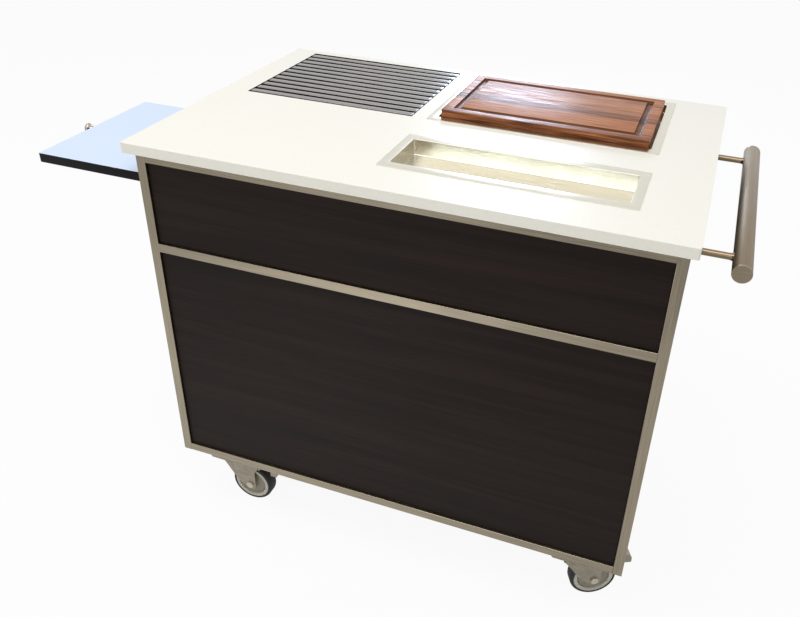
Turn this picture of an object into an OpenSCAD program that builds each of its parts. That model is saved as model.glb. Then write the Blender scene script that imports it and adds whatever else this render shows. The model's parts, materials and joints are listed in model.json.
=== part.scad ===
// Flambe cart. A body of square steel tube with dark panels stands on four
// casters. The white worktop holds a slatted burner bay, a board in a shallow
// pan and a long front tray. A push handle is on the right end, and a shelf
// pulls out of the left end. The operator's side, at the back, has a burner
// bay, a drawer and a cupboard with two doors.
// Cart coordinates: x from the body's middle, y from its front plane, z up
// from the floor. place() moves them to the middle of the cart's footprint.

/* [Body] */
// Width of the body over its corner posts
body_w = 1016; // [980:1:1150]
// Depth of the body over its corner posts
body_d = 652; // [640:1:760]
// Height of the body from its lowest rail to the worktop
body_h = 739; // [700:1:820]
// Side of the square frame tube
tube = 19; // [17:0.5:24]
// Wall of the frame tube
tube_wall = 1.5; // [1:0.1:2.5]
// Height of the rails under the worktop
top_rail_h = 24; // [20:1:30]
// Height of the middle rail above the body's base
mid_rail_rise = 524; // [480:1:560]
// Thickness of the front and end panels
panel_t = 13; // [9:0.5:15]
// Gap between a panel and the frame around it
panel_gap = 0.3; // [0.1:0.1:0.6]
// Thickness of decks, doors, partition and drawer front
board_t = 18; // [15:0.5:19]

/* [Worktop] */
// Thickness of the worktop slab
slab_t = 20; // [18:0.5:30]
// Overhang of the slab past the body's ends
slab_side = 12.5; // [5:0.5:30]
// Overhang of the slab past the body's front
slab_front = 22.4; // [10:0.2:35]
// Overhang of the slab past the body's back
slab_back = 22.6; // [10:0.2:35]
// Corner radius of the slab seen from above
slab_corner = 4; // [2:0.5:10]

/* [Burner bay] */
// Width of the grate's recess
grate_w = 381; // [340:1:400]
// Depth of the grate's recess
grate_d = 321; // [300:1:345]
// Distance from the body's left end to the recess
grate_inset = 45; // [30:1:60]
// Number of slats in the grate
slat_n = 12; // [10:1:12]
// Width of a slat
slat_w = 16.5; // [14:0.5:21]
// Spacing of the slats
slat_pitch = 26.3; // [24:0.1:26.8]
// Thickness of a slat
slat_t = 6; // [4:0.5:8]
// Width of the bars that carry the slats
cross_w = 10; // [6:1:14]
// Depth of the grate's recess below the worktop
well_depth = 17; // [14:0.5:17.5]
// Thickness of the sheet metal of well and pans
sheet = 1.2; // [0.8:0.1:1.5]
// Side of the square sump under the grate
sump_side = 240; // [200:1:260]
// Depth of the sump below the recess
sump_depth = 45; // [35:1:50]
// Radius of the burner head
burner_r = 52; // [35:1:54]
// Height of the burner head
burner_h = 20; // [14:1:24]

/* [Gas] */
// Radius of the gas cartridge
cartridge_r = 33; // [30:0.5:36]
// Length of the gas cartridge
cartridge_len = 180; // [150:1:185]
// Radius of the gas pipes
pipe_r = 5; // [4:0.5:6]
// Radius of the control knob
control_r = 19; // [14:1:22]
// Side of the valve block
valve_side = 30; // [26:1:36]

/* [Pans] */
// Distance from the grate's recess to the pans
bay_gap = 32; // [28:1:45]
// Width of both pans over their flanges
pan_w = 465; // [450:1:500]
// Depth of the board pan over its flange
board_pan_d = 319; // [310:1:340]
// Depth of the front tray over its flange
tray_pan_d = 165; // [150:1:185]
// Distance from the slab's back edge to the board pan
board_pan_back = 26.6; // [15:0.2:35]
// Distance from the body's front plane to the tray's flange
tray_front = 72; // [50:1:80]
// Thickness of the pans' flanges
flange_t = 1; // [0.8:0.1:2]
// Corner radius of the pans' flanges
flange_corner = 3; // [1:0.5:8]
// Width of the recess for the board
recess_w = 430; // [424:1:440]
// Depth of the recess for the board, front to back
recess_d = 276; // [270:1:290]
// Depth of that recess below the worktop
recess_depth = 17; // [12:0.5:17.5]
// Width of the tray's opening
tray_w = 428; // [400:1:434]
// Depth of the tray's opening, front to back
tray_d = 121; // [100:1:128]
// Depth of the tray below the worktop
tray_depth = 30; // [20:1:60]
// Corner radius of the tray and of the recess
pan_corner = 3; // [2:1:14]
// Clearance between the pans and the slab's cut-outs
cut_gap = 1.5; // [0.5:0.1:3]

/* [Cutting board] */
// Length of the cutting board
board_w = 420; // [380:1:422]
// Depth of the cutting board, front to back
board_d = 260; // [230:1:265]
// Thickness of the cutting board
board_h = 32; // [24:1:45]
// Gap between the board and the front of its recess
board_front_gap = 4; // [2:0.5:5]
// Corner radius of the cutting board
board_corner = 3; // [2:0.5:12]
// Distance from the board's edge to its juice groove
groove_inset = 20; // [14:0.5:30]
// Width of the juice groove
groove_w = 14; // [8:0.5:16]
// Depth of the juice groove
groove_deep = 5; // [3:0.5:8]
// Corner radius of the groove's outer edge
groove_corner = 3; // [1:0.5:8]

/* [Push handle] */
// Length of the handle tube
handle_len = 550; // [480:1:600]
// Radius of the handle tube
handle_r = 16.5; // [13:0.5:20]
// Wall of the handle tube
handle_wall = 2; // [1.5:0.1:3]
// Distance from the body's end to the tube's axis
handle_out = 81.3; // [65:0.1:110]
// Distance of the tube's axis below the worktop's underside
handle_drop = 48; // [45:1:70]
// Distance between the two standoffs
standoff_span = 440; // [360:1:460]
// Radius of a standoff
standoff_r = 6; // [5:0.5:9]
// Thickness of the end caps
cap_t = 3; // [2:0.5:6]

/* [Pull-out shelf] */
// How far the shelf stands out of the body
shelf_out = 255; // [200:1:270]
// Depth of the shelf, front to back
shelf_d = 342; // [300:1:370]
// Thickness of the shelf
shelf_t = 19; // [15:0.5:22]
// Distance of the shelf's top below the worktop's underside
shelf_drop = 57.5; // [56:0.5:75]
// Length of shelf that stays in its channels
shelf_grip = 120; // [90:1:140]
// Thickness of the channels that carry the shelf
channel_t = 1.5; // [1:0.1:2.5]
// Width of the channels' flanges
channel_w = 22; // [15:1:30]
// Radius of the shelf's knob
knob_r = 11; // [8:0.5:14]
// How far the knob stands out of the shelf
knob_out = 26; // [20:1:34]

/* [Drawer] */
// Height of the drawer box
drawer_h = 130; // [90:1:140]
// Thickness of the drawer's sides
drawer_side = 12; // [9:0.5:15]
// Thickness of the drawer's bottom
drawer_base = 6; // [4:0.5:9]
// Room on each side of the drawer for its slide
slide_room = 12.5; // [12:0.5:16]
// Height of the fixed drawer rail
slide_h = 38; // [30:1:46]

/* [Doors and pulls] */
// Gap around the doors and the drawer front
door_gap = 1.5; // [1:0.1:2.5]
// Height of a hinge
hinge_h = 60; // [45:1:80]
// Width of a hinge leaf from the pin's axis
leaf_w = 16; // [13:0.5:18]
// Thickness of a hinge leaf
leaf_t = 1.5; // [1:0.1:2]
// Radius of the hinge knuckles
knuckle_r = 3.8; // [3.4:0.1:4]
// Radius of the hinge pins
hinge_pin_r = 2; // [1.5:0.1:2.4]
// Distance of the hinges from the door's ends
hinge_inset = 60; // [40:1:100]
// Length of the bar pulls
pull_len = 160; // [120:1:200]
// Radius of the bar pulls
pull_r = 5; // [4:0.5:7]
// Distance from the door's face to the bar's axis
pull_out = 30; // [25:1:40]
// Distance from the doors' meeting edge to their pulls
pull_inset = 34; // [20:1:60]
// Distance from the doors' top edges down to their pulls
pull_drop = 40; // [20:1:80]
// Distance from a bar's end to its post
pull_post = 16; // [10:1:30]

/* [Casters] */
// Radius of a wheel
wheel_r = 50.5; // [45:0.5:52]
// Width of a wheel
wheel_w = 32; // [26:1:36]
// Height of a caster from the floor to its plate
caster_h = 130; // [129:1:140]
// Distance from the swivel axis back to the axle
trail = 41; // [36:1:44]
// Distance from the body's end to the swivel axis
caster_side = 99; // [90:1:130]
// Distance from the body's front and back to the swivel axis
caster_edge = 62; // [60:1:90]
// Height of the channels that the casters are bolted to
bolster_h = 25; // [20:1:35]
// Width of those channels
bolster_w = 104; // [100:1:130]
// Wall of those channels
bolster_t = 3; // [2:0.5:4]
// Distance from the body's front and back to the channels' ends
bolster_inset = 40; // [22:1:45]
// Radius of an axle
axle_r = 6; // [5:0.5:7]
// Turn of the casters: front left, front right, rear left, rear right
caster_turn = [0, 27.5, 12, -48]; // [-180:0.5:180]

/* [Fits] */
// Radial running clearance of pins, axles and stems
run = 0.05; // [0.02:0.01:0.1]
// Clearance of what slides
slide_gap = 0.3; // [0.2:0.05:0.5]

/* [Hidden] */
$fn = 64;

// How far a cutter runs past what it cuts
past = 1;
// Clearance of a bolt or a pipe in its hole
hole_gap = 0.5;
half_w = body_w / 2;
inner_w = half_w - tube;
inner_back = body_d - tube;
base_z = caster_h + bolster_h;
under_z = base_z + body_h;
top_z = under_z + slab_t;
mid_z = base_z + mid_rail_rise;
bay_z = mid_z + tube;
top_rail_z = under_z - top_rail_h;
rails_z = [base_z, mid_z, top_rail_z];
rails_h = [tube, tube, top_rail_h];
panel_y = tube - panel_t;

grate_x = -half_w + grate_inset;
grate_y = body_d - grate_d;
well_floor = top_z - well_depth;
ledge_w = 6;
grate_gap = 1;
cross_n = 4;
cross_inset = 10;
burner_x = grate_x + grate_w / 2;
burner_y = grate_y + grate_d / 2;
sump_floor = well_floor - sump_depth;
neck_r = 14;
collar_r = 24;
collar_h = 4;
burner_top = well_floor - 7;
burner_ring = 14;
burner_dish = 3;
mixer_r = 12;
mixer_drop = 37;
mixer_z = sump_floor - mixer_drop;
mixer_len = 80;
mixer_mouth = 30;
mixer_wall = 4;

pans_x = grate_x + grate_w + bay_gap;
board_pan_y = body_d + slab_back - board_pan_back - board_pan_d;
recess_x = pans_x + (pan_w - recess_w) / 2;
recess_y = board_pan_y + (board_pan_d - recess_d) / 2;
recess_floor = top_z - recess_depth;
tray_x = pans_x + (pan_w - tray_w) / 2;
tray_y = tray_front + (tray_pan_d - tray_d) / 2;
tray_floor = top_z - tray_depth;
board_x = recess_x + (recess_w - board_w) / 2;
board_y = recess_y + board_front_gap;

// The partition's right face lies under the pans' left flanges
partition_under = 8;
partition_x = pans_x + partition_under - board_t;
drawer_bay_x = partition_x + board_t;
drawer_x = drawer_bay_x + slide_room;
drawer_w = inner_w - slide_room - drawer_x;
drawer_y = 70;
drawer_rise = 8;
drawer_z = bay_z + drawer_rise;
door_y = body_d - board_t;
slide_z = drawer_z + drawer_h / 2;
slide_wall = 1.5;
slide_deep = 9;
runner_start = 10;
runner_stop = 3;

shelf_y = tube + channel_t + slide_gap;
shelf_z = under_z - shelf_drop - shelf_t;
shelf_mid = shelf_y + shelf_d / 2;
slot_room = 2;

handle_x = half_w + handle_out;
handle_y = body_d / 2;
handle_z = under_z - handle_drop;
cap_plug = 8;

hinge_x = inner_w - door_gap / 2;
hinge_up = 4.2;
knuckle_gap = 0.5;
hinge_y = body_d + hinge_up;
door_low = base_z + tube + door_gap;
door_high = mid_z - door_gap;
hinge_zs = [door_low + hinge_inset, door_high - hinge_inset - hinge_h];

// The valve lies behind the burner's axis, and the socket before it
valve_run = 108;
socket_run = 86;
pipe_side = 22;
cartridge_z = bay_z + cartridge_r + slide_gap;
valve_y = burner_y + valve_run;
pipe_x = burner_x - cartridge_r - pipe_side;
socket_y = burner_y - socket_run;
socket_len = 20;
socket_r = 16;
socket_gap = 1;
nozzle_r = 12;
nozzle_len = 6;
stem_r = 4;
stem_len = 14;
foot_t = 3;
control_len = 22;
control_base = 9;
control_gap = 3;
control_lip = 3;
pointer_w = 5;
pointer_gap = 1;

// Casters, front left, front right, rear left, rear right
caster_x = half_w - caster_side;
caster_xs = [-caster_x, caster_x, -caster_x, caster_x];
caster_ys = [caster_edge, caster_edge, body_d - caster_edge, body_d - caster_edge];
plate_size = [95, 80];
plate_t = 4;
plate_corner = 6;
plate_z = caster_h - plate_t;
bolt_span = [72, 56];
bolt_r = 4;
bolt_head_r = 7;
bolt_head_h = 5;
race_r = 28;
race_h = 6;
race_z = plate_z - race_h;
race_gap = 0.4;
crown_r = 33;
crown_t = 3;
crown_z = race_z - race_gap - race_h / 2 - crown_t;
kingpin_r = 6;
kingpin_head_r = 10;
kingpin_head_h = 4;
leg_in = wheel_w / 2 + 3;
leg_t = 3;
leg_out = leg_in + leg_t;
boss_r = 14;
leg_knees = [[-14, wheel_r + 41.5], [trail - 40, wheel_r + 17.5], [trail - 27, wheel_r + 1.5]];
boss_turn = 235;
ear_x = trail + 15;
ear_z = crown_z - 3;
ear_reach = 23;
ear_end = trail + ear_reach;
ear_low = ear_z - 6;
ear_slope = 14;
stub_r = 3;
barrel_r = 5;
pedal_gap = 0.3;
pedal_t = 3;
pedal_r = 15;
pedal_reach = 59;
pedal_x = trail + pedal_reach;
pedal_drop = 24;
pedal_w = 46;
pedal_top = plate_z - 2.5;
neck_drop = 10;
neck_foot = [4, 12];
neck_len = 14;
cheek_t = 2.5;
rim_r = 43.5 / 50.5 * wheel_r;
rim_in = rim_r - 8.5;
rim_half = wheel_w / 2 - 1;
hub_r = 14;
hub_half = wheel_w / 2 + 1.5;
web_half = rim_half - 3;
tread_half = wheel_w / 2 - 4;
axle_head_r = 9;
axle_head_h = 5;

// The footprint's reach, and the cart's origin at its middle
reach_left = half_w + shelf_out + knob_out;
reach_right = handle_x + handle_r;
reach_back = max(body_d + pull_out + pull_r, body_d + slab_back);
origin_x = (reach_right - reach_left) / 2;
origin_y = (reach_back - slab_front) / 2;

STEEL = [0.62, 0.59, 0.52];
POLISHED = [0.78, 0.77, 0.74];
DARK = [0.16, 0.13, 0.12];
CARCASS = [0.25, 0.22, 0.2];
WHITE = [0.93, 0.93, 0.9];
PALE = [0.82, 0.88, 0.98];
WALNUT = [0.5, 0.29, 0.17];
IRON = [0.2, 0.2, 0.21];
BRASS = [0.75, 0.6, 0.3];
ZINC = [0.7, 0.7, 0.68];
GREY = [0.62, 0.62, 0.58];
BLACK = [0.08, 0.08, 0.08];

// Shapes that several pieces share

module place() {
    translate([-origin_x, -origin_y, 0]) children();
}

// A rectangular tube, open at both ends along the given axis
module box_tube(size, axis) {
    bore = [for (i = [0:2]) i == axis ? size[i] + 2 * past : size[i] - 2 * tube_wall];
    start = [for (i = [0:2]) i == axis ? -past : tube_wall];
    difference() {
        cube(size);
        translate(start) cube(bore);
    }
}

module round_rect(size, r) {
    translate([r, 0]) square([size[0] - 2 * r, size[1]]);
    translate([0, r]) square([size[0], size[1] - 2 * r]);
    for (x = [r, size[0] - r], y = [r, size[1] - r]) {
        translate([x, y]) circle(r);
    }
}

module round_plate(size, r) {
    linear_extrude(size[2]) round_rect([size[0], size[1]], r);
}

// A cylinder whose axis runs along +x or +y
module rod_x(r, len) {
    rotate([0, 90, 0]) cylinder(r = r, h = len);
}

module rod_y(r, len) {
    rotate([-90, 0, 0]) cylinder(r = r, h = len);
}

// A bar on two posts, along x, standing out of a face towards +y
module bar_pull() {
    post_x = pull_len / 2 - pull_post;
    post_r = 0.8 * pull_r;
    translate([-pull_len / 2, pull_out, 0]) rod_x(pull_r, pull_len);
    for (x = [-post_x, post_x]) {
        translate([x, 0, 0]) rod_y(post_r, pull_out);
    }
}

// Body frame

module corner_posts() color(STEEL) place() {
    for (x = [-half_w, inner_w], y = [0, inner_back]) {
        translate([x, y, base_z]) box_tube([tube, tube, body_h], 2);
    }
}

module long_rails() color(STEEL) place() {
    for (i = [0:2], y = [0, inner_back]) {
        translate([-inner_w, y, rails_z[i]]) box_tube([2 * inner_w, tube, rails_h[i]], 0);
    }
}

module end_rails() color(STEEL) place() {
    for (i = [0:2], x = [-half_w, inner_w]) {
        translate([x, tube, rails_z[i]]) box_tube([tube, inner_back - tube, rails_h[i]], 1);
    }
}

module bolsters() color(STEEL) place() {
    len = body_d - 2 * bolster_inset;
    for (x = [-caster_x, caster_x]) {
        translate([x - bolster_w / 2, bolster_inset, caster_h]) difference() {
            cube([bolster_w, len, bolster_h]);
            translate([bolster_t, -past, bolster_t]) {
                cube([bolster_w - 2 * bolster_t, len + 2 * past, bolster_h]);
            }
            for (y = [caster_edge, body_d - caster_edge]) {
                translate([bolster_w / 2, y - bolster_inset, 0]) bolt_holes();
            }
        }
    }
}

module bolt_holes() {
    for (x = [-bolt_span[0], bolt_span[0]] / 2, y = [-bolt_span[1], bolt_span[1]] / 2) {
        translate([x, y, -past]) cylinder(r = bolt_r + hole_gap, h = bolster_t + plate_t + 2 * past);
    }
}

// Panels and decks

module front_panel(low, high) {
    translate([-inner_w + panel_gap, panel_y, low + panel_gap]) {
        cube([2 * (inner_w - panel_gap), panel_t, high - low - 2 * panel_gap]);
    }
}

module front_upper_panel() color(DARK) place() {
    front_panel(bay_z, top_rail_z);
}

module front_lower_panel() color(DARK) place() {
    front_panel(base_z + tube, mid_z);
}

module end_panel(low, high) {
    translate([0, tube + panel_gap, low + panel_gap]) {
        cube([panel_t, inner_back - tube - 2 * panel_gap, high - low - 2 * panel_gap]);
    }
}

module end_panels() color(DARK) place() {
    levels = [[base_z + tube, mid_z], [bay_z, top_rail_z]];
    for (level = levels) {
        translate([inner_w, 0, 0]) end_panel(level[0], level[1]);
    }
    translate([-inner_w - panel_t, 0, 0]) {
        end_panel(levels[0][0], levels[0][1]);
        difference() {
            end_panel(levels[1][0], levels[1][1]);
            translate([-past, shelf_y - slot_room, shelf_z - slot_room]) {
                cube([panel_t + 2 * past, shelf_d + 2 * slot_room, shelf_t + 2 * slot_room]);
            }
        }
    }
}

module deck(z) {
    translate([-inner_w, tube, z]) cube([2 * inner_w, inner_back - tube, board_t]);
}

module bottom_deck() color(CARCASS) place() {
    deck(base_z);
}

module middle_deck() color(CARCASS) place() {
    deck(bay_z - board_t);
}

module bay_partition() color(CARCASS) place() {
    translate([partition_x, tube, bay_z]) {
        cube([board_t, body_d - tube, top_rail_z - bay_z]);
    }
}

// Worktop and what lies in it

module worktop() color(WHITE) place() {
    size = [body_w + 2 * slab_side, body_d + slab_front + slab_back, slab_t];
    deep = slab_t + 2 * past;
    difference() {
        translate([-half_w - slab_side, -slab_front, under_z]) round_plate(size, slab_corner);
        translate([grate_x, grate_y, well_floor - sheet]) cube([grate_w, grate_d, slab_t]);
        translate([grate_x + ledge_w, grate_y + ledge_w, under_z - past]) {
            cube([grate_w - 2 * ledge_w, grate_d - 2 * ledge_w, deep]);
        }
        translate([0, 0, under_z - past]) {
            pan_cut(recess_x, recess_y, recess_w, recess_d, deep);
            pan_cut(tray_x, tray_y, tray_w, tray_d, deep);
        }
    }
}

// The slab's opening for a pan of the given inner size
module pan_cut(x, y, w, d, deep) {
    room = sheet + cut_gap;
    translate([x - room, y - room, 0]) {
        round_plate([w + 2 * room, d + 2 * room, deep], pan_corner + room);
    }
}

// A pressed pan that hangs in the slab by its flange
module pan(flange_y, flange_d, x, y, w, d, floor_z) {
    difference() {
        union() {
            translate([pans_x, flange_y, top_z]) round_plate([pan_w, flange_d, flange_t], flange_corner);
            translate([x - sheet, y - sheet, floor_z - sheet]) {
                round_plate([w + 2 * sheet, d + 2 * sheet, top_z - floor_z + sheet], pan_corner + sheet);
            }
        }
        translate([x, y, floor_z]) {
            round_plate([w, d, top_z - floor_z + flange_t + past], pan_corner);
        }
    }
}

module board_pan() color(POLISHED) place() {
    pan(board_pan_y, board_pan_d, recess_x, recess_y, recess_w, recess_d, recess_floor);
}

module front_tray() color(POLISHED) place() {
    pan(tray_front, tray_pan_d, tray_x, tray_y, tray_w, tray_d, tray_floor);
}

module cutting_board() color(WALNUT) place() {
    side = groove_inset + groove_w;
    translate([board_x, board_y, recess_floor]) difference() {
        round_plate([board_w, board_d, board_h], board_corner);
        translate([0, 0, board_h - groove_deep]) linear_extrude(groove_deep + past) difference() {
            translate([groove_inset, groove_inset]) {
                round_rect([board_w - 2 * groove_inset, board_d - 2 * groove_inset], groove_corner);
            }
            translate([side, side]) square([board_w - 2 * side, board_d - 2 * side]);
        }
    }
}

module burner_well() color(STEEL) place() {
    well_h = well_depth + sheet;
    sump_x = burner_x - sump_side / 2;
    sump_y = burner_y - sump_side / 2;
    difference() {
        union() {
            translate([grate_x, grate_y, well_floor - sheet]) cube([grate_w, grate_d, well_h]);
            translate([sump_x - sheet, sump_y - sheet, sump_floor - sheet]) {
                cube([sump_side + 2 * sheet, sump_side + 2 * sheet, sump_depth + sheet]);
            }
        }
        translate([grate_x + sheet, grate_y + sheet, well_floor]) {
            cube([grate_w - 2 * sheet, grate_d - 2 * sheet, well_depth + past]);
        }
        translate([sump_x, sump_y, sump_floor]) cube([sump_side, sump_side, sump_depth + past]);
        translate([burner_x, burner_y, sump_floor - sheet - past]) {
            cylinder(r = neck_r + hole_gap, h = sheet + 2 * past);
        }
    }
}

module grate() color(STEEL) place() {
    side = sheet + grate_gap;
    slats_d = (slat_n - 1) * slat_pitch + slat_w;
    first = (grate_d - slats_d) / 2;
    len = grate_w - 2 * side;
    cross_h = well_depth - slat_t;
    cross_step = (len - cross_w - 2 * cross_inset) / (cross_n - 1);
    translate([grate_x + side, grate_y, well_floor]) {
        for (i = [0:slat_n - 1]) {
            translate([0, first + i * slat_pitch, cross_h]) cube([len, slat_w, slat_t]);
        }
        for (i = [0:cross_n - 1]) {
            translate([cross_inset + i * cross_step, first, 0]) cube([cross_w, slats_d, cross_h]);
        }
    }
}

// Burner and gas

module burner_head() color(IRON) place() translate([burner_x, burner_y, 0]) {
    difference() {
        union() {
            translate([0, 0, mixer_z]) cylinder(r = neck_r, h = burner_top - mixer_z);
            translate([0, 0, sump_floor]) cylinder(r = collar_r, h = collar_h);
            translate([0, 0, burner_top - burner_h]) cylinder(r = burner_r, h = burner_h);
            translate([0, 0, mixer_z]) rod_y(mixer_r, mixer_len);
        }
        translate([0, 0, burner_top - burner_dish]) {
            cylinder(r = burner_r - burner_ring, h = burner_dish + past);
        }
        translate([0, mixer_len - mixer_mouth, mixer_z]) rod_y(mixer_r - mixer_wall, mixer_mouth + past);
    }
}

module gas_valve() color(BRASS) place() {
    block_y = valve_y - valve_side / 2;
    side_x = burner_x - pipe_x;
    translate([burner_x - valve_side / 2, block_y, mixer_z - valve_side / 2]) {
        cube([valve_side, valve_side, valve_side]);
    }
    translate([burner_x, block_y - mixer_mouth, mixer_z]) rod_y(stem_r, mixer_mouth);
    translate([burner_x, block_y + valve_side, mixer_z]) rod_y(stem_r, stem_len);
    translate([pipe_x, valve_y, mixer_z]) rod_x(pipe_r, side_x);
    translate([pipe_x, valve_y, bay_z]) cylinder(r = pipe_r, h = mixer_z - bay_z + pipe_r);
    translate([pipe_x, valve_y, bay_z]) cylinder(r = 3 * pipe_r, h = foot_t);
    translate([pipe_x, socket_y + pipe_r, cartridge_z]) rod_y(pipe_r, valve_y - socket_y - pipe_r);
    translate([pipe_x - pipe_r, socket_y + pipe_r, cartridge_z]) rod_x(pipe_r, side_x);
    difference() {
        translate([burner_x, socket_y, cartridge_z]) rod_y(socket_r, socket_len);
        translate([burner_x, socket_y + socket_len - nozzle_len, cartridge_z]) {
            rod_y(nozzle_r + slide_gap, nozzle_len + past);
        }
    }
}

module gas_cartridge() color(ZINC) place() {
    start = socket_y + socket_len + socket_gap;
    translate([burner_x, start, cartridge_z]) rod_y(cartridge_r, cartridge_len);
    translate([burner_x, start - nozzle_len, cartridge_z]) rod_y(nozzle_r, nozzle_len);
}

module burner_knob() color(BLACK) place() {
    start = valve_y + valve_side / 2 + control_gap;
    translate([burner_x, start, mixer_z]) difference() {
        union() {
            rod_y(control_r, control_base);
            rod_y(control_r - control_lip, control_len);
            translate([-pointer_w / 2, control_base, 0]) {
                cube([pointer_w, control_len - control_base, control_r - pointer_gap]);
            }
        }
        translate([0, -past, 0]) rod_y(stem_r + run, stem_len - control_gap + past + slide_gap);
    }
}

// Push handle

module handle_tube() color(STEEL) place() {
    translate([handle_x, handle_y - handle_len / 2 + cap_t, handle_z]) difference() {
        rod_y(handle_r, handle_len - 2 * cap_t);
        translate([0, -past, 0]) rod_y(handle_r - handle_wall, handle_len);
    }
}

module handle_caps() color(STEEL) place() {
    for (end = [-1, 1]) {
        translate([handle_x, handle_y + end * handle_len / 2, handle_z]) rotate([90 * end, 0, 0]) {
            cylinder(r = handle_r, h = cap_t);
            cylinder(r = handle_r - handle_wall - run, h = cap_t + cap_plug);
        }
    }
}

module handle_standoffs() color(STEEL) place() {
    root = inner_w + panel_t;
    for (end = [-1, 1]) {
        difference() {
            translate([root, handle_y + end * standoff_span / 2, handle_z]) {
                rod_x(standoff_r, handle_x - root);
            }
            translate([handle_x, handle_y - handle_len / 2, handle_z]) rod_y(handle_r, handle_len);
        }
    }
}

// Pull-out shelf

module shelf_channels() color(STEEL) place() {
    len = inner_w + partition_x;
    inner_h = shelf_t + 2 * slide_gap;
    outer_h = inner_h + 2 * channel_t;
    low = shelf_z - slide_gap - channel_t;
    front_y = shelf_y - slide_gap - channel_t;
    rear_y = shelf_y + shelf_d + slide_gap + channel_t - channel_w;
    for (side = [0, 1]) {
        y = side == 0 ? front_y : rear_y;
        wall = side == 0 ? channel_t : -past;
        translate([-inner_w, y, low]) difference() {
            cube([len, channel_w, outer_h]);
            translate([-past, wall, channel_t]) {
                cube([len + 2 * past, channel_w - channel_t + past, inner_h]);
            }
        }
    }
}

module pullout_shelf() color(PALE) place() {
    translate([-half_w - shelf_out, shelf_y, shelf_z]) cube([shelf_out + shelf_grip, shelf_d, shelf_t]);
}

// A turned knob: neck, cone and head, in shares of the knob's radius
module shelf_knob() color(STEEL) place() {
    neck_r = 0.5 * knob_r;
    cone_r = 0.6 * knob_r;
    cone_h = 0.5 * knob_r;
    head_h = 0.7 * knob_r;
    neck_h = knob_out - cone_h - head_h;
    translate([-half_w - shelf_out, shelf_mid, shelf_z + shelf_t / 2]) rotate([0, -90, 0]) {
        cylinder(r = neck_r, h = neck_h + past);
        translate([0, 0, neck_h]) cylinder(r1 = cone_r, r2 = knob_r, h = cone_h);
        translate([0, 0, neck_h + cone_h]) cylinder(r = knob_r, h = head_h);
    }
}

// Drawer

module drawer_rails() color(ZINC) place() {
    len = inner_back - drawer_y;
    for (side = [0, 1]) {
        x = side == 0 ? drawer_bay_x : inner_w - slide_deep;
        cut_x = side == 0 ? slide_wall : -past;
        translate([x, drawer_y, slide_z - slide_h / 2]) difference() {
            cube([slide_deep, len, slide_h]);
            translate([cut_x, -past, slide_wall]) {
                cube([slide_deep - slide_wall + past, len + 2 * past, slide_h - 2 * slide_wall]);
            }
        }
    }
}

module drawer_runners() color(ZINC) place() {
    runner_h = slide_h - 2 * slide_wall - 2 * slide_gap;
    runner_w = slide_room - slide_wall - slide_gap;
    for (x = [drawer_x - runner_w, drawer_x + drawer_w]) {
        translate([x, drawer_y + runner_start, slide_z - runner_h / 2]) {
            cube([runner_w, inner_back - drawer_y - runner_start - runner_stop, runner_h]);
        }
    }
}

module drawer_box() color(CARCASS) place() {
    depth = door_y - drawer_y;
    translate([drawer_x, drawer_y, drawer_z]) difference() {
        cube([drawer_w, depth, drawer_h]);
        translate([drawer_side, drawer_side, drawer_base]) {
            cube([drawer_w - 2 * drawer_side, depth - 2 * drawer_side, drawer_h]);
        }
    }
}

module drawer_front() color(DARK) place() {
    translate([drawer_bay_x + door_gap, door_y, bay_z + door_gap]) {
        cube([inner_w - drawer_bay_x - 2 * door_gap, board_t, top_rail_z - bay_z - 2 * door_gap]);
    }
}

module drawer_pull() color(STEEL) place() {
    translate([(drawer_bay_x + inner_w) / 2, body_d, (bay_z + top_rail_z) / 2]) bar_pull();
}

// Cupboard doors, side -1 at the left end and 1 at the right end

module door(side) {
    w = inner_w - 1.5 * door_gap;
    x = side > 0 ? door_gap / 2 : -door_gap / 2 - w;
    translate([x, door_y, door_low]) cube([w, board_t, door_high - door_low]);
}

// A hinge leaf in the pin's frame, reaching towards -x at y = -hinge_up
module leaf(parts) {
    third = hinge_h / 3;
    plate_x = knuckle_r + knuckle_gap;
    translate([-leaf_w, -hinge_up, 0]) cube([leaf_w - plate_x, leaf_t, hinge_h]);
    for (i = parts) {
        gap = i == 1 ? slide_gap : 0;
        translate([-plate_x - past, -hinge_up, i * third + gap]) {
            cube([plate_x + past, leaf_t, third - 2 * gap]);
        }
        translate([0, 0, i * third + gap]) cylinder(r = knuckle_r, h = third - 2 * gap);
    }
}

// The frame's leaves, with the pins staked into them
module hinge_leaves() color(ZINC) place() {
    for (side = [0, 1], z = hinge_zs) {
        mirror([side, 0, 0]) translate([-hinge_x, hinge_y, z]) {
            leaf([0, 2]);
            cylinder(r = hinge_pin_r, h = hinge_h);
        }
    }
}

// A door's own leaves, bored for the pins
module door_leaves(side) {
    for (z = hinge_zs) {
        mirror([side > 0 ? 1 : 0, 0, 0]) translate([-hinge_x, hinge_y, z]) difference() {
            mirror([1, 0, 0]) leaf([1]);
            translate([0, 0, -past]) cylinder(r = hinge_pin_r + run, h = hinge_h + 2 * past);
        }
    }
}

module door_pull(side) {
    pull_z = door_high - pull_drop - pull_len / 2;
    translate([side * pull_inset, body_d, pull_z]) rotate([0, 90, 0]) bar_pull();
}

module left_door() color(DARK) place() door(-1);

module left_door_hinges() color(ZINC) place() door_leaves(-1);

module left_door_pull() color(STEEL) place() door_pull(-1);

module right_door() color(DARK) place() door(1);

module right_door_hinges() color(ZINC) place() door_leaves(1);

module right_door_pull() color(STEEL) place() door_pull(1);

// Casters. In a caster's own frame +x is the way it trails and y its axle.

module at_caster(i) {
    place() translate([caster_xs[i], caster_ys[i], 0]) rotate([0, 0, caster_turn[i]]) children();
}

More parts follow.
